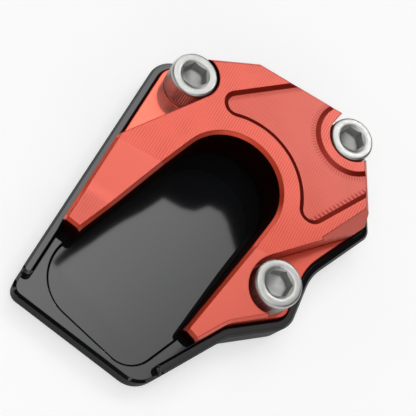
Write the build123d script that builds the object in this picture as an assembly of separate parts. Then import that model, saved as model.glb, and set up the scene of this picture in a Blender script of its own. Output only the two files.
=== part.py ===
from build123d import *
import math
import os

# Kickstand foot enlarger: a black plate that widens the foot of a side stand, and a red
# horseshoe clamp that holds the foot, pulled down on the plate by three M6 cap screws.
# Plan axes: x to the right from the plate's middle line, y to the rear from the centre of
# the horseshoe's arch, z up from the underside. Sizes are in mm, angles in degrees from +x.
# The finished part is moved so that the middle of its footprint lies at the origin.

# Cap screws
thread_d = 6.0
thread_gap = 0.05         # radial, screw to its hole in the plate
head_d = 10.0
head_h = 6.0
head_edge = 0.45
head_gaps = (0.3, 0.35, 0.65)       # radial, each head to its counterbore: left, rear, right
shank_gap = 0.3           # radial, screw to its hole in the clamp
socket_af = 5.0
socket_depth = 3.0
socket_point = 1.0        # depth of the drilled point below the socket
screw_recess = 0.5        # screw end up from the plate's underside
left_screw_x = -21.47
left_screw_y = 12.13
rear_screw_x = 10.51
rear_screw_y = 29.8
right_screw_x = 20.1
right_screw_y = -6.95
socket_turns = (14.0, 21.0, 39.5)   # corner of each hexagon, in the same order

# Base plate
plate_thickness = 5.0
plate_foot_edge = 0.5     # chamfer round the underside
plate_deck_edge = 0.6     # chamfer round the deck, seen at the toe
toe_reach = 41.1
toe_skew = 9.2
toe_left_r = 2.5
toe_right_r = 5.5
flank_flare = 15.7
flank_distance = 8.06     # left flank out from the left screw
waist_distance = 12.55    # waist forward of the right screw
waist_r = 3.0
lobe_x = 8.65             # lobe corner from the right screw
lobe_y = -1.55
lobe_r = 5.0
hollow_x = 4.8            # hollow between lobe and heel, from the right screw
hollow_y = 10.15
hollow_r = 10.0
heel_x = 17.69            # right heel corner from the rear screw
heel_y = -9.5
heel_r = 3.0
heel_angle = 131.4
rear_angle = 19.3
rear_distance = 7.0       # rear edge out from the rear screw, and its round
shoulder_r = 3.2
left_heel_angle = 48.3
left_heel_distance = 6.3
left_heel_r = 6.0

# Lip round the plate, open at the toe
lip_height = 2.5
lip_width = 2.1
lip_edge = 0.5
lip_left_gap = 4.71       # centre of the lip's round left end, back from the toe edge
lip_right_gap = 5.57

# Foot pocket in the deck
pocket_depth = 0.8
pocket_edge = 0.4
pocket_margin = 0.5       # pocket past the clamp's opening, under the clamp
pocket_reach = 38.53
pocket_skew = 3.5
pocket_left_x = -13.85
pocket_left_r = 9.0
pocket_right_x = 18.0     # right side, carried back to the arch's centre line
pocket_right_angle = 81.5
pocket_right_r = 5.5

# Horseshoe clamp
seat_gap = 0.15           # clamp to the lip
flange_thickness = 3.5    # under the screw heads
arch_r = 11.05
arch_x = -0.3
opening_left_flare = 3.7
opening_right_flare = 6.2
opening_edge = 0.7
clamp_edge = 0.6
prong_inset = 1.45        # left prong's side in from the flank, over the lip
prong_lift = 0.1          # that overhang above the lip
left_tip_reach = 27.95
left_tip_x = -14.8
right_tip_reach = 25.35
left_wall_angle = 74.9
right_wall_angle = 63.6
right_wall_end = -58.0    # bearing from the right screw where its ledge ends at the prong
rear_wall_angle = 91.5
heel_wall_inset = 3.35
heel_bevel = 1.05         # in plan, along the top of that wall
heel_bevel_angle = 45.0
left_ramp_x = -17.4
left_ramp_y = -9.15
left_ramp_run = 11.3
left_ramp_drop = 3.3
left_ramp_blend = 14.0
right_ramp_x = 12.0
right_ramp_y = -5.3
right_ramp_slope = 15.1

# Recess in the clamp's upper face, and the boss round the rear screw
recess_depth = 0.4
recess_run = 1.0          # its sloped sides, in plan
recess_inner_r = 15.3
recess_end_r = 3.0
recess_left_bearing = 126.5
recess_right_bearing = 33.2
recess_left_angle = 60.7
recess_right_angle = 75.3
boss_wall = 2.2

# Bevel on the clamp's right corner
bevel_top_x = 12.14       # rear end of its upper edge, from the rear screw
bevel_top_y = -10.08
bevel_front_x = 9.59      # front end of its upper edge, where it runs out
bevel_front_y = -22.6
bevel_angle = 42.0

# Levels and sizes that follow
deck_z = plate_thickness
lip_z = deck_z + lip_height
ledge_z = deck_z + flange_thickness
top_z = ledge_z + head_h
screw_length = flange_thickness + plate_thickness - screw_recess
left_bore_r, rear_bore_r, right_bore_r = (head_d / 2 + gap for gap in head_gaps)
above_z = 2 * top_z         # where upward cuts end
far = 2 * (toe_reach + rear_screw_y)
nearly_level = 0.9          # slope of an edge that still counts as level
on_line = 1e-3


def point(x, y):
    return Vector(x, y)


def toward(angle, length=1.0):
    return Vector(math.cos(math.radians(angle)), math.sin(math.radians(angle))) * length


def meet(start, start_angle, end, end_angle):
    # Where a line through start meets a line through end
    way, other = toward(start_angle), toward(end_angle)
    gap = end - start
    reach = (gap.X * other.Y - gap.Y * other.X) / (way.X * other.Y - way.Y * other.X)
    return start + way * reach


def polygon(*corners):
    return make_face(Polyline(*corners, close=True))


def raised(face, low, high):
    return extrude(Pos(0, 0, low) * face, amount=high - low)


left_screw = point(left_screw_x, left_screw_y)
rear_screw = point(rear_screw_x, rear_screw_y)
right_screw = point(right_screw_x, right_screw_y)
screws = (left_screw, rear_screw, right_screw)
arch = point(arch_x, 0)

# Lines that the plate's outline is made of
left_flank_angle = 90 + flank_flare
right_flank_angle = 90 - flank_flare
left_flank = left_screw + toward(left_flank_angle + 90, flank_distance)
right_flank = point(-left_flank.X, left_flank.Y)
toe = point(0, -toe_reach)
left_heel = left_screw + toward(left_heel_angle + 90, left_heel_distance)
rear_edge = rear_screw + toward(rear_angle + 90, rear_distance)
heel = rear_screw + point(heel_x, heel_y)


def plate_outline():
    corners = (
        (meet(toe, toe_skew, left_flank, left_flank_angle), toe_left_r),
        (meet(toe, toe_skew, right_flank, right_flank_angle), toe_right_r),
        (meet(right_screw - point(0, waist_distance), 0, right_flank, right_flank_angle), waist_r),
        (right_screw + point(lobe_x, lobe_y), lobe_r),
        (right_screw + point(hollow_x, hollow_y), hollow_r),
        (heel, heel_r),
        (meet(heel, heel_angle, rear_edge, rear_angle), rear_distance),
        (meet(rear_edge, rear_angle, left_heel, left_heel_angle), shoulder_r),
        (meet(left_heel, left_heel_angle, left_flank, left_flank_angle), left_heel_r),
    )
    places = [corner for corner, _ in corners]
    rounds = [r for _, r in corners]
    return make_face(FilletPolyline(*places, radius=rounds, close=True))


def clamp_opening(margin=0.0):
    r = arch_r + margin
    left_way = 270 - opening_left_flare
    right_way = 270 + opening_right_flare
    left = arch + toward(left_way - 90, r)
    right = arch + toward(right_way + 90, r)
    mouth = polygon(left, left + toward(left_way, far), right + toward(right_way, far), right)
    return mouth + Pos(arch) * Circle(r)


def foot_pocket():
    front = point(0, -pocket_reach)
    left = point(pocket_left_x, 0)
    right = point(pocket_right_x, 0)
    front_left = meet(front, pocket_skew, left, 90)
    front_right = meet(front, pocket_skew, right, pocket_right_angle)
    back_right = right + toward(pocket_right_angle, far)
    toe_end = FilletPolyline(
        left + point(0, far), front_left, front_right, back_right,
        radius=[pocket_left_r, pocket_right_r],
    )
    toe_face = make_face(toe_end + Line(back_right, left + point(0, far)))
    return toe_face & clamp_opening(pocket_margin)


def lip():
    outline = plate_outline()
    half = lip_width / 2
    left_in = left_flank + toward(left_flank_angle - 90, half)
    right_in = right_flank + toward(right_flank_angle + 90, half)
    left_toe = meet(toe, toe_skew, left_in, left_flank_angle)
    right_toe = meet(toe, toe_skew, right_in, right_flank_angle)
    left_end = left_toe + toward(left_flank_angle, lip_left_gap)
    right_end = right_toe + toward(right_flank_angle, lip_right_gap)
    toe_gap = polygon(
        left_end + toward(left_flank_angle + 90, lip_width),
        left_end + toward(left_flank_angle - 90, lip_width),
        right_end + toward(right_flank_angle + 90, lip_width),
        right_end + toward(right_flank_angle - 90, lip_width),
        right_end + point(far, -far),
        left_end + point(-far, -far),
    )
    ring = outline - offset(outline, -lip_width) - toe_gap
    ring += [Pos(left_end) * Circle(half), Pos(right_end) * Circle(half)]
    solid = raised(ring, deck_z - plate_deck_edge, lip_z)
    return chamfer(solid.faces().sort_by(Axis.Z)[-1].edges(), lip_edge)


def base_plate():
    plate = raised(plate_outline(), 0, deck_z)
    plate = chamfer(plate.faces().sort_by(Axis.Z)[0].edges(), plate_foot_edge)
    plate = chamfer(plate.faces().sort_by(Axis.Z)[-1].edges(), plate_deck_edge)
    plate += lip()
    pocket = foot_pocket()
    plate -= raised(pocket, deck_z - pocket_depth, deck_z)
    plate -= extrude(Pos(0, 0, deck_z - pocket_edge) * pocket, amount=pocket_edge, taper=-45)
    for screw in screws:
        plate -= Pos(screw) * raised(Circle(thread_d / 2 + thread_gap), 0, top_z)
    return plate


def rim(solid, line):
    # Edges of the solid above the ledges that run along a line in plan
    edges = []
    for edge in solid.edges():
        middle = edge @ 0.5
        level = abs((edge % 0.5).Z) < nearly_level
        away = Vertex(middle.X, middle.Y, 0).distance_to(line)
        if level and middle.Z > ledge_z and away < on_line:
            edges.append(edge)
    return edges


def tip_edges():
    left_tip = point(left_tip_x, -left_tip_reach)
    left_end = meet(left_tip, toe_skew, arch, 90)
    right_end = point(arch_x, -right_tip_reach)
    left_edge = Line(left_end + toward(toe_skew + 180, far), left_end)
    return left_edge, Line(right_end, right_end + point(far, 0))


def tip_cuts():
    cut = Part()
    for edge in tip_edges():
        beyond = polygon(edge @ 0, edge @ 1, edge @ 1 - point(0, far), edge @ 0 - point(0, far))
        cut += raised(beyond, 0, above_z)
    return cut


def left_ledge():
    wall = left_screw + toward(left_wall_angle - 90, left_bore_r)
    wall_end = wall - toward(left_wall_angle, far)
    outside = wall_end + toward(left_wall_angle + 90, far)
    return polygon(left_screw, wall, wall_end, outside, left_screw + toward(left_heel_angle + 90, far))


def right_ledge():
    wall = right_screw + toward(right_wall_angle + 90, right_bore_r)
    wall_end = wall + toward(right_wall_angle, far)
    outside = wall_end + toward(right_wall_angle - 90, far)
    return polygon(right_screw, wall, wall_end, outside, right_screw + toward(right_wall_end, far))


def rear_ledge():
    wall = rear_screw + toward(rear_wall_angle + 90, rear_bore_r)
    way = toward(rear_wall_angle, far)
    return polygon(rear_screw, wall, wall + way, rear_screw + way)


def heel_ledge():
    wall = heel + toward(heel_angle + 90, heel_wall_inset)
    way = toward(heel_angle, far)
    return polygon(wall + way, wall - way, heel + point(far, far))


def ledge_cuts():
    bore_sizes = (left_bore_r, rear_bore_r, right_bore_r)
    bores = [Pos(screw) * Circle(r) for screw, r in zip(screws, bore_sizes)]
    ledges = (left_ledge(), rear_ledge(), right_ledge(), heel_ledge())
    return [raised(cut, ledge_z, above_z) for cut in (*ledges, *bores)]


def recess_cut():
    left_end = arch + toward(recess_left_bearing, recess_inner_r + recess_end_r)
    right_end = arch + toward(recess_right_bearing, recess_inner_r + recess_end_r)
    left = left_end + toward(recess_left_angle + 90, recess_end_r)
    right = right_end + toward(recess_right_angle - 90, recess_end_r)
    past_rear = rear_screw_y + rear_distance
    outline = polygon(
        arch, left_end, left, left + toward(recess_left_angle, past_rear),
        right + toward(recess_right_angle, past_rear), right, right_end,
    )
    outline -= Pos(arch) * Circle(recess_inner_r)
    outline += [Pos(left_end) * Circle(recess_end_r), Pos(right_end) * Circle(recess_end_r)]
    low_z = top_z - recess_depth
    side_angle = math.degrees(math.atan2(recess_run, recess_depth))
    floor = Pos(0, 0, low_z) * offset(outline, -recess_run)
    boss_r = rear_bore_r + boss_wall
    standing = (Align.CENTER, Align.CENTER, Align.MIN)
    boss = Cone(boss_r + recess_run, boss_r, recess_depth, align=standing)
    cut = extrude(floor, amount=recess_depth, taper=-side_angle)
    return cut - Pos(rear_screw.X, rear_screw.Y, low_z) * boss


def ramp_plane(x, y):
    # Upright plane whose x runs down the ramp and whose y is up, with the ramp's top at its origin
    return Plane(origin=(x, y, top_z), x_dir=toward(rear_angle - 90), z_dir=-toward(rear_angle))


def ramp_cuts():
    left_profile = FilletPolyline(
        (0, 0), (left_ramp_run, -left_ramp_drop), (far, -left_ramp_drop), radius=left_ramp_blend,
    )
    left_rest = Polyline((far, -left_ramp_drop), (far, head_h), (0, head_h), (0, 0))
    left_face = make_face(left_profile + left_rest)
    left = extrude(ramp_plane(left_ramp_x, left_ramp_y) * left_face, amount=-left_ramp_x, both=True)
    fall = far * math.tan(math.radians(right_ramp_slope))
    right_face = polygon((0, 0), (far, -fall), (far, head_h), (0, head_h))
    right_plane = ramp_plane(right_screw_x, right_ramp_at_screw())
    right = extrude(right_plane * right_face, amount=right_screw_x, both=True)
    return [left, right]


def right_ramp_at_screw():
    return right_ramp_y + (right_screw_x - right_ramp_x) * math.tan(math.radians(rear_angle))


def slope_cut(top, run, angle):
    # All that lies above a slope, which falls away to the right of a run along its top edge
    tilt = math.radians(angle)
    face_way = Vector(run.Y, -run.X) * math.sin(tilt) + Vector(0, 0, math.cos(tilt))
    plane = Plane(origin=(top.X, top.Y, top_z), x_dir=run, z_dir=face_way)
    return plane * Box(far, far, far, align=(Align.MIN, Align.CENTER, Align.MIN))


def bevel_cuts():
    front = rear_screw + point(bevel_front_x, bevel_front_y)
    run = (rear_screw + point(bevel_top_x, bevel_top_y) - front).normalized()
    heel_top = heel + toward(heel_angle + 90, heel_wall_inset + heel_bevel)
    heel_start = heel_top - toward(heel_angle, far / 2)
    corner = slope_cut(front, run, bevel_angle)
    return [corner, slope_cut(heel_start, toward(heel_angle), heel_bevel_angle)]


def left_prong():
    side = left_flank + toward(left_flank_angle - 90, prong_inset)
    wall = left_screw + toward(left_wall_angle - 90, left_bore_r)
    corner = meet(side, left_flank_angle, wall, left_wall_angle)
    front = side - toward(left_flank_angle, far)
    return polygon(corner, wall, arch, arch - point(0, far), front), Line(corner, front)


def clamp_block():
    seat = offset(plate_outline(), -(lip_width + seat_gap))
    seat_edge = seat.face().outer_wire()
    opening = clamp_opening()
    prong, prong_edge = left_prong()
    block = raised(seat, deck_z, top_z) - tip_cuts()
    block = chamfer(rim(block, seat_edge), clamp_edge)
    block += raised(prong, lip_z + prong_lift, top_z) - tip_cuts()
    block -= raised(opening, 0, above_z)
    block -= ledge_cuts()
    block -= ramp_cuts()
    block -= bevel_cuts()
    block -= recess_cut()
    block = chamfer([edge for tip in tip_edges() for edge in rim(block, tip)], clamp_edge)
    for screw in screws:
        block -= Pos(screw) * raised(Circle(thread_d / 2 + shank_gap), 0, top_z)
    block = chamfer(rim(block, opening.face().outer_wire()), opening_edge)
    right_side = [edge for edge in rim(block, seat_edge) if (edge @ 0.5).Y < right_screw.Y]
    block = chamfer(right_side, clamp_edge)
    return chamfer(rim(block, prong_edge), clamp_edge)


def cap_screw():
    shank = raised(Circle(thread_d / 2), ledge_z - screw_length, ledge_z)
    shank = chamfer(shank.faces().sort_by(Axis.Z)[0].edges(), head_edge)
    head = raised(Circle(head_d / 2), ledge_z, top_z)
    head = chamfer(head.faces().sort_by(Axis.Z)[-1].edges(), head_edge)
    socket_z = top_z - socket_depth
    head -= raised(RegularPolygon(socket_af / 2, 6, major_radius=False), socket_z, top_z)
    below = (Align.CENTER, Align.CENTER, Align.MAX)
    head -= Pos(0, 0, socket_z) * Cone(0, socket_af / 2, socket_point, align=below)
    return shank + head


def cap_screws():
    return [Pos(screw) * Rot(0, 0, turn) * cap_screw() for screw, turn in zip(screws, socket_turns)]


plate = base_plate()
footprint = plate.bounding_box().center()
to_origin = Pos(-footprint.X, -footprint.Y, 0)
parts = {
    "base_plate": [plate],
    "clamp_block": [clamp_block()],
    "cap_screws": cap_screws(),
}
os.makedirs("parts", exist_ok=True)
for name, pieces in parts.items():
    solids = [solid for piece in pieces for solid in (to_origin * piece).solids()]
    export_step(Compound(solids), f"parts/{name}.step")
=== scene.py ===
import math
import bpy
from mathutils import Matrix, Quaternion, Vector


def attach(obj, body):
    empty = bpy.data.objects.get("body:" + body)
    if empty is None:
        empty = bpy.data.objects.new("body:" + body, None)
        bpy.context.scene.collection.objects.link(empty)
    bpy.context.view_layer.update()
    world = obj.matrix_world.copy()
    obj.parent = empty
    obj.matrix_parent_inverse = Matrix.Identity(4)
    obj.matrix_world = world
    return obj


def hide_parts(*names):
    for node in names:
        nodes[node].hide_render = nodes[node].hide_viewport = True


# Kickstand foot enlarger: black plate, red horseshoe clamp and three cap screws on a pale floor
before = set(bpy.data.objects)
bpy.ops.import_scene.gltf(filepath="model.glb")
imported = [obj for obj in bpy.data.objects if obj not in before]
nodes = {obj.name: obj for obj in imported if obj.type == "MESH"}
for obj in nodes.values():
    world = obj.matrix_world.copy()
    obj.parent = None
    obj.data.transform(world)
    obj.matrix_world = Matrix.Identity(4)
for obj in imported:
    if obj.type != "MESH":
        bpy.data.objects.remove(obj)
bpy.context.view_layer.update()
scene = bpy.context.scene
mm = 0.001
print("stage 1: frame loaded,", sorted(nodes))


# small helpers for the shader trees
class Tree:
    def __init__(self, name):
        self.material = bpy.data.materials.new(name)
        self.material.use_nodes = True
        self.tree = self.material.node_tree
        self.tree.nodes.clear()
        self.out = self.add("ShaderNodeOutputMaterial")

    def add(self, kind, **values):
        node = self.tree.nodes.new(kind)
        for key, value in values.items():
            setattr(node, key, value)
        return node

    def link(self, source, target):
        self.tree.links.new(source, target)

    def feed(self, socket, value):
        # a plain value goes on the socket, anything else is another node's output
        if isinstance(value, (int, float, tuple)):
            socket.default_value = value
        else:
            self.link(value, socket)

    def math(self, operation, *values):
        node = self.add("ShaderNodeMath", operation=operation)
        for socket, value in zip(node.inputs, values):
            self.feed(socket, value)
        return node.outputs[0]

    def product(self, first, *others):
        for value in others:
            first = self.math("MULTIPLY", first, value)
        return first

    def vector(self, operation, *values):
        node = self.add("ShaderNodeVectorMath", operation=operation)
        for socket, value in zip(node.inputs, values):
            self.feed(socket, value)
        return node.outputs["Value" if operation in ("DOT_PRODUCT", "LENGTH") else "Vector"]

    def along(self, place, direction):
        return self.vector("DOT_PRODUCT", place, direction)

    def noise(self, place, scale, detail=2.0, roughness=0.5):
        node = self.add("ShaderNodeTexNoise")
        self.link(place, node.inputs["Vector"])
        node.inputs["Scale"].default_value = scale
        node.inputs["Detail"].default_value = detail
        node.inputs["Roughness"].default_value = roughness
        return node.outputs["Fac"]

    def ramp(self, value, low, high, toLow=0.0, toHigh=1.0):
        node = self.add("ShaderNodeMapRange")
        self.link(value, node.inputs["Value"])
        for key, number in (("From Min", low), ("From Max", high), ("To Min", toLow), ("To Max", toHigh)):
            node.inputs[key].default_value = number
        return node.outputs["Result"]

    def between(self, value, rise, fall):
        return self.product(self.ramp(value, *rise), self.ramp(value, *fall, 1, 0))

    def eased(self, mask, share):
        # 1 outside the mask, the share inside it
        return self.ramp(mask, 0, 1, 1, share)

    def blend(self, factor, first, second):
        node = self.add("ShaderNodeMix", data_type="RGBA")
        self.link(factor, node.inputs["Factor"])
        ends = [socket for socket in node.inputs if socket.type == "RGBA"]
        for socket, value in zip(ends, (first, second)):
            self.feed(socket, (*value, 1.0) if isinstance(value, tuple) else value)
        return next(socket for socket in node.outputs if socket.type == "RGBA")

    def rounded(self, radius):
        node = self.add("ShaderNodeBevel", samples=8)
        node.inputs["Radius"].default_value = radius
        return node.outputs[0]

    def openness(self, trueNormal, reach):
        # 1 on open faces, less where a sharp edge lies within reach
        return self.vector("DOT_PRODUCT", self.rounded(reach), trueNormal)

    def bump(self, height, distance, strength=1.0, under=None):
        node = self.add("ShaderNodeBump")
        node.inputs["Strength"].default_value = strength
        node.inputs["Distance"].default_value = distance
        self.link(height, node.inputs["Height"])
        if under is not None:
            self.link(under, node.inputs["Normal"])
        return node.outputs["Normal"]

    def glow(self, level):
        node = self.add("ShaderNodeEmission")
        self.feed(node.inputs["Strength"], level)
        self.link(node.outputs[0], self.out.inputs["Surface"])

    def principled(self, **values):
        node = self.add("ShaderNodeBsdfPrincipled")
        for key, value in values.items():
            node.inputs[key].default_value = value
        self.link(node.outputs[0], self.out.inputs["Surface"])
        return node


def dress(piece, material):
    piece.data.materials.clear()
    piece.data.materials.append(material)


# red anodised clamp, milled in straight passes on its level faces; lengths in millimetres
clampRed = {
    "ridgeRed": (0.73, 0.056, 0.010),
    # painted shade: the red that the passes' crests and the recess floor are pulled towards
    "grooveShadeRed": (0.43, 0.022, 0.002),
    "grooveCoat": 0.65,
    "coatIor": 1.77,
    "coatRoughness": 0.32,
    "roughness": 0.46,
    "roughSpread": 0.10,
    "roughScale": 900.0,
    "grainHeight": 0.002,
    "grainScale": 5200.0,
    "grainStrength": 0.6,
    "edgeRound": 0.20,
    "edgeReach": 0.45,           # how far the shade of a sharp edge goes
    "edgeTurn": (0.92, 0.99),
    "edgeShade": 0.95,
    # passes of the cutter
    "passWidth": 0.540,
    "passAngle": 105.0,          # plan angle
    "passHeight": 0.014,
    "passWander": 0.35,
    "wanderScale": 230.0,
    "passFaintest": 0.45,
    "faintNoise": (0.35, 0.65),
    "faintScale": 150.0,
    "crestPower": 3.0,
    "lowestPass": (10.5, 10.7),  # the ledges below this are smooth
    # faces told apart by how far they look up: where each mask rises and falls
    "levelFaces": (0.985, 0.995),
    "wallFaces": ((0.89, 0.905), (0.942, 0.950)),
    "chamferFaces": ((0.68, 0.69), (0.725, 0.735)),
    "uprightFaces": (0.1, 0.3),
    # recess: its floor is painted a little darker as painted shade, its passes fainter, its sloped walls
    # painted darkest as painted shade
    "recessFloor": (14.15, 14.25),
    "recessShade": 0.40,
    "recessPass": 0.7,
    # painted shade for the sloped walls and sharp edges, and the colour of the strokes
    "shadeAndStrokeRed": (0.28, 0.011, 0.002),
    "wallCoat": 0.20,
    "chamferCoat": 0.42,
    # strokes that the cutter left on the recess floor: a point at the wall's foot, plan angle, pitch, length
    "strokes": {
        "right": {"foot": (17.43, 12.66), "angle": 75.3, "pitch": 1.043, "length": 1.15, "slant": 0.35},
        "left": {"foot": (-12.44, 18.83), "angle": 240.7, "pitch": 0.52, "length": 1.2, "slant": 0.6},
    },
    "bossStrokes": {"centre": (11.001, 32.943), "radius": 8.45, "length": 1.5, "count": 92, "share": 0.7},
    "strokeEdge": (0.14, 0.34),  # soft sides of a stroke, in shares of its pitch
    "strokeStart": 0.05,
    "strokeFade": 0.45,          # share of its length where a stroke starts to fade
    "strokeShade": 0.75,
    # left ledge, smooth enough to mirror the screw, and painted a paler red as painted light
    "ledgeLitRed": (0.74, 0.082, 0.038),
    "ledgeRoughness": 0.12,
    # upright walls round the opening, painted nearly black as painted shade
    "slotShadeRed": (0.020, 0.001, 0.0005),
    "slotCoat": 0.02,
    "slotRoughness": 0.90,
    "slotCentre": (0.191, -32.0),
    "slotReach": 2.0,
}


def makePasses(t, place, s):
    # hollow passes between sharp crests, wandering and fading a little; the red darkens towards the crests
    # as painted shade
    angle = math.radians(s["passAngle"] - 90)
    across = t.along(place, (math.cos(angle), math.sin(angle), 0))
    turns = t.math("DIVIDE", across, s["passWidth"] * mm)
    turns = t.math("MULTIPLY_ADD", t.noise(place, s["wanderScale"]), s["passWander"], turns)
    fromMiddle = t.math("ABSOLUTE", t.math("MULTIPLY_ADD", t.math("FRACT", turns), 2.0, -1.0))
    crest = t.math("POWER", fromMiddle, s["crestPower"])
    faint = t.ramp(t.noise(place, s["faintScale"]), *s["faintNoise"], s["passFaintest"], 1.0)
    return t.product(crest, faint)


def strokeMask(t, along, inward, pitch, length, s):
    # one dark stroke to a pitch, fading away from the wall's foot
    turn = t.math("FRACT", t.math("DIVIDE", along, pitch * mm))
    dark = t.ramp(t.math("ABSOLUTE", t.math("SUBTRACT", turn, 0.5)), *s["strokeEdge"])
    start = (-s["strokeStart"] * mm, s["strokeStart"] * mm)
    end = (s["strokeFade"] * length * mm, length * mm)
    return t.product(dark, t.between(inward, start, end))


def makeStrokes(t, place, s):
    marks = []
    for line in s["strokes"].values():
        angle = math.radians(line["angle"])
        run = (math.cos(angle), math.sin(angle), 0)
        turned = (-math.sin(angle), math.cos(angle), 0)
        start = line["foot"][0] * turned[0] + line["foot"][1] * turned[1]
        inward = t.math("SUBTRACT", t.along(place, turned), start * mm)
        along = t.math("MULTIPLY_ADD", inward, line["slant"], t.along(place, run))
        marks.append(strokeMask(t, along, inward, line["pitch"], line["length"], s))
    # round the boss the strokes stand like rays
    boss = s["bossStrokes"]
    x, y = boss["centre"]
    parts = t.add("ShaderNodeSeparateXYZ")
    t.link(t.vector("SUBTRACT", place, (x * mm, y * mm, 0)), parts.inputs[0])
    squares = [t.math("POWER", parts.outputs[axis], 2) for axis in (0, 1)]
    inward = t.math("SUBTRACT", t.math("SQRT", t.math("ADD", *squares)), boss["radius"] * mm)
    bearing = t.math("ARCTAN2", parts.outputs[1], parts.outputs[0])
    along = t.product(bearing, boss["count"] / (2 * math.pi) * mm)
    marks.append(t.product(strokeMask(t, along, inward, 1.0, boss["length"], s), boss["share"]))
    return t.math("MAXIMUM", t.math("MAXIMUM", marks[0], marks[1]), marks[2])


def makeSlotMask(t, place, trueNormal, upward, s):
    # upright walls that face the middle of the opening
    x, y = s["slotCentre"]
    away = t.vector("MULTIPLY", t.vector("SUBTRACT", place, (x * mm, y * mm, 0)), (1, 1, 0))
    facing = t.math("LESS_THAN", t.vector("DOT_PRODUCT", away, trueNormal), -s["slotReach"] * mm)
    return t.product(facing, t.ramp(upward, *s["uprightFaces"], 1, 0))


def makeClampRed(s):
    t = Tree("clampRed")
    place = t.add("ShaderNodeTexCoord").outputs["Object"]
    trueNormal = t.add("ShaderNodeNewGeometry").outputs["True Normal"]
    upward = t.along(trueNormal, (0, 0, 1))
    height = t.along(place, (0, 0, 1))
    # level faces above the ledges carry the passes
    level = t.ramp(upward, *s["levelFaces"])
    high = t.ramp(height, *(z * mm for z in s["lowestPass"]))
    lowered = t.ramp(height, *(z * mm for z in s["recessFloor"]), 1, 0)
    milled = t.product(level, high)
    recess = t.product(milled, lowered)
    passes = t.product(makePasses(t, place, s), milled, t.eased(lowered, s["recessPass"]))
    # painted shade on the sloped walls and along sharp edges; the strokes at the walls' feet are dark marks
    wall = t.between(upward, *s["wallFaces"])
    strokes = t.product(makeStrokes(t, place, s), recess, s["strokeShade"])
    edge = t.ramp(t.openness(trueNormal, s["edgeReach"] * mm), *s["edgeTurn"], s["edgeShade"], 0.0)
    dark = t.math("MAXIMUM", t.math("MAXIMUM", wall, strokes), edge)
    slot = makeSlotMask(t, place, trueNormal, upward, s)
    leftSide = t.math("LESS_THAN", t.along(place, (1, 0, 0)), 0.0)
    ledge = t.product(level, t.math("SUBTRACT", 1.0, high), leftSide)
    # painted shade: the passes darken towards their crests
    colour = t.blend(passes, s["ridgeRed"], s["grooveShadeRed"])
    # painted shade: the recess floor is pulled towards the shade red
    colour = t.blend(t.product(recess, s["recessShade"]), colour, s["grooveShadeRed"])
    # painted shade on walls and edges, and the strokes' dark marks
    colour = t.blend(dark, colour, s["shadeAndStrokeRed"])
    # painted shade: the walls round the opening are painted nearly black
    colour = t.blend(slot, colour, s["slotShadeRed"])
    # painted light: the left ledge is painted paler than the other level faces
    colour = t.blend(ledge, colour, s["ledgeLitRed"])
    roughLow = s["roughness"] - s["roughSpread"] / 2
    rough = t.math("MULTIPLY_ADD", t.noise(place, s["roughScale"], 3.0), s["roughSpread"], roughLow)
    rough = t.math("MULTIPLY_ADD", ledge, s["ledgeRoughness"] - s["roughness"], rough)
    rough = t.math("MULTIPLY_ADD", slot, s["slotRoughness"] - s["roughness"], rough)
    # the oxide's gloss is weaker in the grooves, on the chamfers and on dark walls
    chamfer = t.between(upward, *s["chamferFaces"])
    coat = t.product(
        t.eased(dark, s["wallCoat"]), t.eased(chamfer, s["chamferCoat"]),
        t.eased(passes, s["grooveCoat"]), t.eased(slot, s["slotCoat"]),
    )
    normal = t.bump(passes, s["passHeight"] * mm, 1.0, t.rounded(s["edgeRound"] * mm))
    grain = t.bump(t.noise(place, s["grainScale"]), s["grainHeight"] * mm, s["grainStrength"], normal)
    skin = t.principled(**{"Metallic": 1.0, "Coat IOR": s["coatIor"], "Coat Roughness": s["coatRoughness"]})
    t.link(colour, skin.inputs["Base Color"])
    t.link(rough, skin.inputs["Roughness"])
    t.link(grain, skin.inputs["Normal"])
    t.link(coat, skin.inputs["Coat Weight"])
    t.link(normal, skin.inputs["Coat Normal"])
    return t.material


# gloss black anodised plate: a dull black under a clear coat that mirrors the light; lengths in millimetres
plateBlack = {
    "black": (0.0024, 0.0026, 0.0032),
    "haze": (0.0050, 0.0056, 0.0068),
    "hazeNoise": (0.35, 0.7),
    "smearScale": 70.0,
    "roughness": 0.35,
    "roughSpread": 0.05,
    "roughNoise": (0.3, 0.75),
    "ior": 1.04,
    "coatIor": 1.70,
    "coatRoughness": 0.035,
    "upFaces": (0.2, 0.9),
    "sideCoat": 0.06,           # the upright sides are duller
    "wave": 0.03,               # slow waves that bend its reflections
    "waveScale": 60.0,
    "grainHeight": 0.0008,
    "grainScale": 2600.0,
    "grainStrength": 0.5,
    "edgeRound": 0.10,
    "edgeReach": 0.24,          # the gloss ends this far from a sharp edge
    "edgeTurn": (0.90, 0.99),
    "edgeCoat": 0.10,
}


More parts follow.
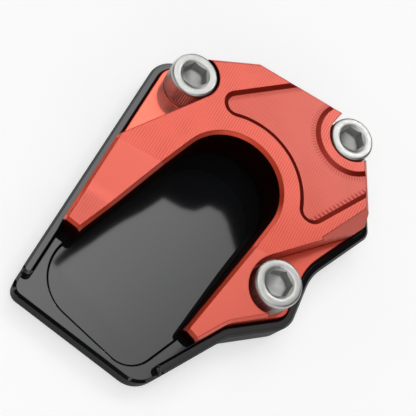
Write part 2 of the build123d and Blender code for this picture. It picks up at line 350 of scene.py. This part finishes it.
def makePlateBlack(s):
    t = Tree("plateBlack")
    place = t.add("ShaderNodeTexCoord").outputs["Object"]
    trueNormal = t.add("ShaderNodeNewGeometry").outputs["True Normal"]
    upward = t.along(trueNormal, (0, 0, 1))
    smear = t.noise(place, s["smearScale"], 4.0, 0.55)
    colour = t.blend(t.ramp(smear, *s["hazeNoise"]), s["black"], s["haze"])
    roughEnds = (s["roughness"] - s["roughSpread"], s["roughness"] + s["roughSpread"])
    rough = t.ramp(smear, *s["roughNoise"], *roughEnds)
    edge = t.ramp(t.openness(trueNormal, s["edgeReach"] * mm), *s["edgeTurn"], s["edgeCoat"], 1.0)
    coat = t.product(edge, t.ramp(upward, *s["upFaces"], s["sideCoat"], 1))
    edgeNormal = t.rounded(s["edgeRound"] * mm)
    wavy = t.bump(t.noise(place, s["waveScale"], 1.0), s["wave"] * mm, 1.0, edgeNormal)
    grain = t.bump(t.noise(place, s["grainScale"]), s["grainHeight"] * mm, s["grainStrength"], wavy)
    skin = t.principled(**{"IOR": s["ior"], "Coat IOR": s["coatIor"], "Coat Roughness": s["coatRoughness"]})
    t.link(colour, skin.inputs["Base Color"])
    t.link(rough, skin.inputs["Roughness"])
    t.link(grain, skin.inputs["Normal"])
    t.link(coat, skin.inputs["Coat Weight"])
    t.link(wavy, skin.inputs["Coat Normal"])
    return t.material


dress(nodes["clamp_block"], makeClampRed(clampRed))
dress(nodes["base_plate"], makePlateBlack(plateBlack))
print("stage 2: clamp and plate finished")


# cap screws: turned head, knurled side, hexagon socket, rolled thread; lengths in millimetres
capScrew = {
    "segments": 240, "sharpAngle": 32.0,
    "headR": 5.0, "headTop": 14.5, "headFoot": 8.5,
    "edge": 0.55, "edgeSteps": 7, "edgeSet": 0.06,
    "footEdge": 0.30, "footSet": 0.02, "footRise": 0.20, "footBand": 0.38,
    "teeth": 60, "toothDepth": 0.17,
    "knurlTop": 13.75, "knurlFoot": 9.06, "knurlLead": 0.3, "knurlFade": 0.55,
    "mouthR": 3.12, "mouthSlope": 0.58, "mouthEdge": 0.06, "mouthDrop": 0.03,
    "socketFlats": 5.05, "socketFloor": 11.5, "socketDraft": 0.02, "socketCorner": 0.25,
    "drillSet": 0.35, "drillDrop": 0.05, "drillPoint": 1.0,
    "threadR": 3.0, "threadDepth": 0.55, "threadPitch": 1.0, "threadSteps": 6,
    "tip": 0.5, "tipEdge": 0.5, "tipSet": 0.15, "neck": 0.3, "neckSet": 0.1,
    # place in plan and turn of each socket in degrees
    "places": {
        "screwLeft": (-20.979, 15.273, 14.0),
        "screwRear": (11.001, 32.943, 21.0),
        "screwRight": (20.591, -3.807, 39.5),
    },
}


def screwRings(s):
    count = s["segments"]
    angles = [2 * math.pi * i / count for i in range(count)]

    def even(r, z):
        return [(r, z)] * count

    def knurled(z, share):
        ring = []
        for a in angles:
            tooth = abs(((a * s["teeth"] / (2 * math.pi)) % 1.0) * 2 - 1)
            ring.append((s["headR"] - s["toothDepth"] * share * tooth, z))
        return ring

    def hexagon(a):
        inFlat = (a + math.pi / 6) % (math.pi / 3) - math.pi / 6
        return s["socketFlats"] / 2 / math.cos(inFlat - math.copysign(math.pi / 6, inFlat))

    # rolled thread from the tip up to a plain neck
    rings = [even(0.0, s["tip"]), even(s["threadR"] - s["threadDepth"] - s["tipSet"], s["tip"])]
    z = s["tip"] + s["tipEdge"]
    while z < s["headFoot"] - s["neck"]:
        ring = []
        for a in angles:
            turn = (z / s["threadPitch"] - a / (2 * math.pi)) % 1.0
            ring.append((s["threadR"] - s["threadDepth"] * (1 - abs(turn * 2 - 1)), z))
        rings.append(ring)
        z += s["threadPitch"] / s["threadSteps"]
    rings.append(even(s["threadR"] - s["neckSet"], s["headFoot"] - s["neck"] / 2))
    rings.append(even(s["threadR"] - s["neckSet"], s["headFoot"]))
    # plain foot band, then the knurled side with run-outs at both ends
    rings.append(even(s["headR"] - s["footEdge"], s["headFoot"]))
    rings.append(even(s["headR"] - s["footSet"], s["headFoot"] + s["footRise"]))
    rings.append(even(s["headR"] - s["footSet"], s["headFoot"] + s["footBand"]))
    rings.append(knurled(s["knurlFoot"], 1.0))
    rings.append(knurled(s["knurlTop"] - s["knurlLead"], 1.0))
    rings.append(knurled(s["knurlTop"], s["knurlFade"]))
    # rounded edge up to the turned face
    edge, steps = s["edge"], s["edgeSteps"]
    for i in range(steps + 1):
        a = math.pi / 2 * i / steps
        r = s["headR"] - s["edgeSet"] - edge + edge * math.cos(a)
        rings.append(even(r, s["headTop"] - edge + edge * math.sin(a)))
    rings.append(even((s["headR"] - edge + s["mouthR"]) / 2, s["headTop"]))
    rings.append(even(s["mouthR"] + s["mouthEdge"], s["headTop"]))
    rings.append(even(s["mouthR"], s["headTop"] - s["mouthDrop"]))
    # countersunk mouth runs into the hexagon
    mouth = []
    for a in angles:
        r = hexagon(a)
        mouth.append((r, s["headTop"] - s["mouthDrop"] - (s["mouthR"] - r) * s["mouthSlope"]))
    rings.append(mouth)
    rings.append([(r - s["socketDraft"], s["socketFloor"] + s["socketCorner"]) for r, _ in mouth])
    rings.append([(r - s["socketCorner"], s["socketFloor"]) for r, _ in mouth])
    rings.append(even(s["socketFlats"] / 2 - s["drillSet"], s["socketFloor"] - s["drillDrop"]))
    rings.append(even(0.0, s["socketFloor"] - s["drillPoint"]))
    return angles, rings


def makeScrewMesh(s):
    angles, rings = screwRings(s)
    count = s["segments"]
    onePoint = [max(r for r, _ in ring) == 0.0 for ring in rings]
    points, faces, starts = [], [], []
    for ring, single in zip(rings, onePoint):
        starts.append(len(points))
        if single:
            points.append((0.0, 0.0, ring[0][1] * mm))
            continue
        for a, (r, z) in zip(angles, ring):
            points.append((r * math.cos(a) * mm, r * math.sin(a) * mm, z * mm))
    for k in range(len(rings) - 1):
        low, high = starts[k], starts[k + 1]
        for i in range(count):
            j = (i + 1) % count
            if onePoint[k]:
                faces.append((low, high + j, high + i))
            elif onePoint[k + 1]:
                faces.append((low + i, low + j, high))
            else:
                faces.append((low + i, low + j, high + j, high + i))
    mesh = bpy.data.meshes.new("capScrew")
    mesh.from_pydata(points, [], faces)
    mesh.validate()
    mesh.polygons.foreach_set("use_smooth", [True] * len(mesh.polygons))
    mesh.set_sharp_from_angle(angle=math.radians(s["sharpAngle"]))
    mesh.update()
    return mesh


# stainless steel, turned on the face and pressed in the socket; lengths in millimetres
screwSteel = {
    "steel": (0.53, 0.53, 0.512),
    "dull": (0.47, 0.47, 0.453),
    "stainScale": 650.0,
    "stainNoise": (0.3, 0.7),
    "roughEnds": (0.29, 0.39),
    "roughScale": 1500.0,
    "roughNoise": (0.3, 0.7),
    "socketRough": 0.17,        # added in the socket
    "socketR": (3.15, 3.20),
    "socketTop": (14.40, 14.46),
    "turning": 0.24,
    "turningHeight": 0.0002,
}


def makeScrewSteel(s):
    t = Tree("screwSteel")
    place = t.add("ShaderNodeTexCoord").outputs["Object"]
    radius = t.vector("LENGTH", t.vector("MULTIPLY", place, (1, 1, 0)))
    rings = t.math("SINE", t.product(radius, 2 * math.pi / (s["turning"] * mm)))
    stain = t.ramp(t.noise(place, s["stainScale"], 3.0), *s["stainNoise"])
    colour = t.blend(stain, s["dull"], s["steel"])
    rough = t.ramp(t.noise(place, s["roughScale"], 3.0), *s["roughNoise"], *s["roughEnds"])
    # the pressed socket is duller than the turned face
    inside = t.ramp(radius, *(r * mm for r in s["socketR"]), 1, 0)
    below = t.ramp(t.along(place, (0, 0, 1)), *(z * mm for z in s["socketTop"]), 1, 0)
    rough = t.math("MULTIPLY_ADD", t.product(inside, below), s["socketRough"], rough)
    skin = t.principled(Metallic=1.0)
    t.link(colour, skin.inputs["Base Color"])
    t.link(rough, skin.inputs["Roughness"])
    t.link(t.bump(rings, s["turningHeight"] * mm), skin.inputs["Normal"])
    return t.material


screwMesh = makeScrewMesh(capScrew)
screwMesh.materials.append(makeScrewSteel(screwSteel))
for name, (x, y, turn) in capScrew["places"].items():
    screw = bpy.data.objects.new(name, screwMesh)
    scene.collection.objects.link(screw)
    screw.location = (x * mm, y * mm, 0)
    screw.rotation_euler = (0, 0, math.radians(turn))
    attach(screw, "root")
    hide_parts("cap_screws")
print("stage 3: cap screws,", len(screwMesh.polygons), "faces each")


def oblong(left, right, near, far):
    return ((left, near), (right, near), (right, far), (left, far))


# pale floor, bright ceiling sheets with dark gaps between them, camera at the photograph's angle
studio = {
    "floorSize": 6.0, "floorDrop": 0.02, "floorGrey": (0.60, 0.60, 0.60), "floorGlow": 0.52,
    # corners of each sheet on the ceiling, in shares of the ceiling's height
    "ceiling": 3.0,
    "fade": (-0.09, 0.12),       # a sheet that fades goes from one level to the other between these x
    "sheets": {
        "overhead": {"corners": oblong(-0.22, 0.36, -0.22, 0.20), "level": 2.25},
        "overheadNear": {"corners": oblong(-0.22, 0.095, 0.20, 0.31), "level": 2.2, "fadesTo": 1.2},
        "overheadRear": {
            "corners": (
                (-0.090, 0.31), (0.095, 0.31), (0.095, 0.490), (0.058, 0.514), (0.047, 0.522),
                (0.035, 0.529), (0.022, 0.535), (0.006, 0.538), (-0.013, 0.532), (-0.022, 0.510),
                (-0.038, 0.499), (-0.066, 0.490),
            ),
            "level": 2.35, "fadesTo": 1.2,
        },
        "overheadDim": {
            "corners": ((0.095, 0.20), (0.30, 0.20), (0.30, 0.55), (0.095, 0.542)),
            "level": 0.5,
        },
        "window": {
            "corners": (
                (-0.75, 0.31), (-0.097, 0.31), (-0.099, 0.335), (-0.130, 0.36),
                (-0.105, 0.95), (-0.75, 0.95),
            ),
            "level": 2.2,
        },
        "left": {"corners": oblong(-0.85, -0.36, -0.25, 0.25), "level": 1.2},
        "front": {"corners": oblong(-0.50, 0.50, -0.85, -0.36), "level": 1.6},
        "rear": {"corners": oblong(0.00, 0.17, 0.75, 0.92), "level": 13.0},
        "rearFar": {"corners": oblong(-0.05, 0.60, 0.95, 1.40), "level": 2.5},
    },
    # upright panels: azimuth and elevation as seen from the part, width and height in metres
    "panelAway": 0.9,
    "panels": {
        "side": {"azimuth": 8.0, "elevation": 10.0, "size": (0.9, 0.36), "level": 0.65},
        "leftRear": {"azimuth": 150.0, "elevation": 10.0, "size": (0.8, 0.36), "level": 2.0},
        "frontLeft": {"azimuth": -140.0, "elevation": 18.0, "size": (0.5, 0.30), "level": 1.0},
        "front": {"azimuth": -90.0, "elevation": 27.0, "size": (1.0, 0.36), "level": 0.6},
        "frontRight": {"azimuth": -38.0, "elevation": 27.0, "size": (0.8, 0.44), "level": 1.3},
    },
    "fill": (0.02, 0.02, 0.021),
    # camera place and aim in millimetres, roll in degrees
    "cameraPlace": (2.358, -79.977, 158.497), "cameraAim": (0.563, -1.511, 10.0),
    "cameraRoll": 45.256, "cameraLens": 73.103, "cameraSensor": 36.0,
    "cameraClip": (0.005, 100.0),
}


def makeSheet(name, corners, material):
    mesh = bpy.data.meshes.new(name)
    mesh.from_pydata(corners, [], [tuple(range(len(corners)))])
    mesh.materials.append(material)
    sheet = bpy.data.objects.new(name, mesh)
    scene.collection.objects.link(sheet)
    return sheet


def makeFloor(s):
    t = Tree("floorWhite")
    plain = t.add("ShaderNodeBsdfDiffuse")
    plain.inputs["Color"].default_value = (*s["floorGrey"], 1)
    # the floor looks white without lighting the part any more
    glow = t.add("ShaderNodeEmission")
    path = t.add("ShaderNodeLightPath").outputs
    seen = t.math("MAXIMUM", path["Is Camera Ray"], path["Is Glossy Ray"])
    seen = t.math("MAXIMUM", seen, path["Is Transmission Ray"])
    t.link(t.product(seen, s["floorGlow"]), glow.inputs["Strength"])
    both = t.add("ShaderNodeAddShader")
    t.link(plain.outputs[0], both.inputs[0])
    t.link(glow.outputs[0], both.inputs[1])
    t.link(both.outputs[0], t.out.inputs["Surface"])
    half = s["floorSize"] / 2
    corners = [(x, y, 0) for x, y in oblong(-half, half, -half, half)]
    makeSheet("floor", corners, t.material).location.z = -s["floorDrop"] * mm


def makeCeiling(s):
    high = s["ceiling"]
    for name, part in s["sheets"].items():
        t = Tree(name + "Glow")
        level = part["level"]
        if "fadesTo" in part:
            across = t.along(t.add("ShaderNodeTexCoord").outputs["Object"], (1 / high, 0, 0))
            level = t.ramp(across, *s["fade"], level, part["fadesTo"])
        t.glow(level)
        corners = [(x * high, y * high, high) for x, y in part["corners"]]
        makeSheet(name + "Sheet", corners, t.material).visible_camera = False


def makePanels(s):
    for name, part in s["panels"].items():
        t = Tree(name + "PanelGlow")
        t.glow(part["level"])
        wide, high = part["size"][0] / 2, part["size"][1] / 2
        corners = [(x, y, 0) for x, y in oblong(-wide, wide, -high, high)]
        panel = makeSheet(name + "Panel", corners, t.material)
        panel.visible_camera = False
        across, up = math.radians(part["azimuth"]), math.radians(part["elevation"])
        toward = Vector((math.cos(across) * math.cos(up), math.sin(across) * math.cos(up), math.sin(up)))
        panel.location = toward * s["panelAway"]
        panel.rotation_euler = toward.to_track_quat("Z", "Y").to_euler()


def makeWorld(s):
    world = bpy.data.worlds.new("studio")
    world.use_nodes = True
    world.node_tree.nodes["Background"].inputs["Color"].default_value = (*s["fill"], 1)
    scene.world = world


def makeCamera(s):
    data = bpy.data.cameras.new("camera")
    data.lens = s["cameraLens"]
    data.sensor_width = s["cameraSensor"]
    data.clip_start, data.clip_end = s["cameraClip"]
    camera = bpy.data.objects.new("camera", data)
    scene.collection.objects.link(camera)
    place, aim = Vector(s["cameraPlace"]) * mm, Vector(s["cameraAim"]) * mm
    camera.location = place
    turn = (aim - place).to_track_quat("-Z", "Y") @ Quaternion((0, 0, 1), math.radians(s["cameraRoll"]))
    camera.rotation_euler = turn.to_euler()
    scene.camera = camera


makeFloor(studio)
makeCeiling(studio)
makePanels(studio)
makeWorld(studio)
makeCamera(studio)
scene.view_settings.view_transform = "Standard"
print("stage 4: floor, light and camera")
